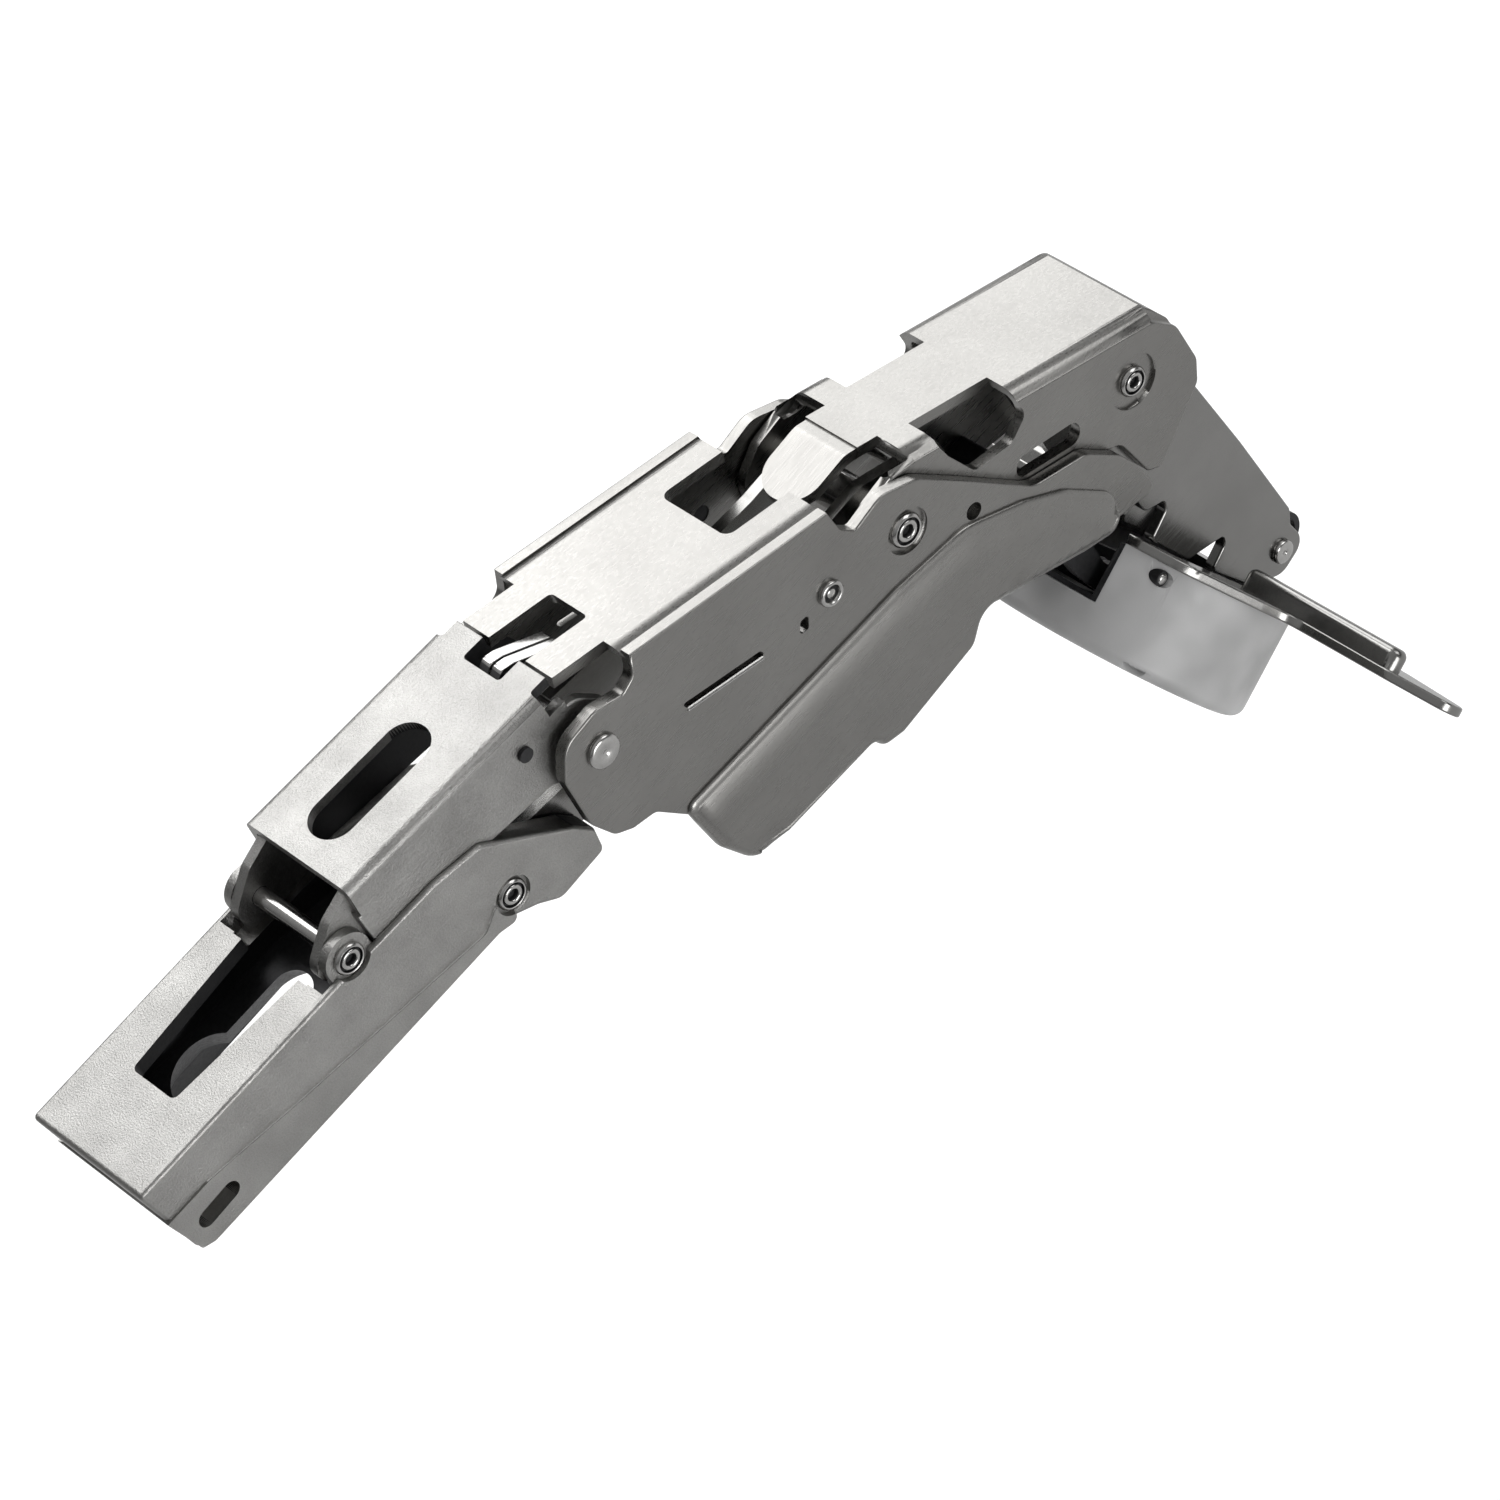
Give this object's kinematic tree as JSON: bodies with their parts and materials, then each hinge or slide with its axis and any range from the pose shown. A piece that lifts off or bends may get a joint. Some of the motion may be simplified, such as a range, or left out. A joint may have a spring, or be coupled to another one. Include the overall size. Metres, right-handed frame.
{
  "type": "concealed cup hinge",
  "caption": "Wide opening concealed cup hinge: cast arm, folding linkage of stamped channels and a round door cup with winged flange, shown fully open.",
  "frame": {"origin": "centre of the keyhole's round part at the underside of the arm's floor", "axes": "+Z away from the seat, +X along the arm towards its nose and the linkage"},
  "size_m": [0.1568, 0.084, 0.095],
  "materials": {
    "cast_nickel": "matt nickel on a die casting",
    "bright_nickel": "brushed nickel plate",
    "side_nickel": "satin nickel plate",
    "rivet_steel": "bright rivet ends",
    "spring_steel": "oiled spring wire",
    "dark_steel": "dark oiled steel",
    "grey_plastic": "grey moulded plastic",
    "cup_plastic": "milky grey moulded plastic"
  },
  "bodies": {
    "arm": {"arm_body": "cast_nickel", "release_catch": "rivet_steel", "rear_pin": "rivet_steel", "nose_rivet": "rivet_steel", "nose_sleeve": "rivet_steel"},
    "rear": {"rear_link": "cast_nickel", "link_rod": "rivet_steel", "stop_studs": "rivet_steel", "catch_strip_near": "rivet_steel", "catch_strip_far": "rivet_steel"},
    "mid": {"centre_channel": "bright_nickel", "centre_pin": "rivet_steel", "guide_studs": "rivet_steel", "inner_web": "grey_plastic", "scissor_rivet": "rivet_steel"},
    "front": {"front_channel": "bright_nickel", "long_lever_near": "rivet_steel", "long_lever_far": "rivet_steel", "lever_rivet": "rivet_steel", "scissor_sleeve": "rivet_steel", "scissor_spacers": "rivet_steel", "front_rivet": "rivet_steel"},
    "link": {"front_link_near": "side_nickel", "front_link_far": "side_nickel", "link_tie": "rivet_steel", "cup_pin": "rivet_steel"},
    "cup": {"cup_body": "cup_plastic", "tie_pins": "rivet_steel", "cup_flange": "side_nickel", "cup_bracket": "dark_steel", "inner_pin": "rivet_steel", "gate_liner": "dark_steel", "closing_spring": "spring_steel"}
  },
  "joints": [
    {"name": "rear_pivot", "type": "hinge", "parent": "arm", "child": "rear", "pos_m": [0.017, 0, 0.011], "axis": [0, -1, 0], "range_deg": [0, 112]},
    {"name": "centre_pivot", "type": "hinge", "parent": "rear", "child": "mid", "pos_m": [0.0519, 0, 0.0067], "axis": [0, -1, 0], "range_deg": [-82.89, 0]},
    {"name": "scissor_pivot", "type": "hinge", "parent": "mid", "child": "front", "pos_m": [0.0947, 0, -0.006], "axis": [0, -1, 0], "range_deg": [0, 50.97]},
    {"name": "front_pivot", "type": "hinge", "parent": "front", "child": "link", "pos_m": [0.128, 0, -0.0194], "axis": [0, -1, 0], "range_deg": [-60.83, 0]},
    {"name": "cup_pivot", "type": "hinge", "parent": "mid", "child": "cup", "pos_m": [0.118, 0, -0.0535], "axis": [0, -1, 0], "range_deg": [0, 94.09]}
  ],
  "couplings": [
    {"joint": "centre_pivot", "follows": "rear_pivot", "ratio": -0.74},
    {"joint": "scissor_pivot", "follows": "rear_pivot", "ratio": 0.455},
    {"joint": "front_pivot", "follows": "rear_pivot", "ratio": -0.543},
    {"joint": "cup_pivot", "follows": "rear_pivot", "ratio": 0.84}
  ]
}
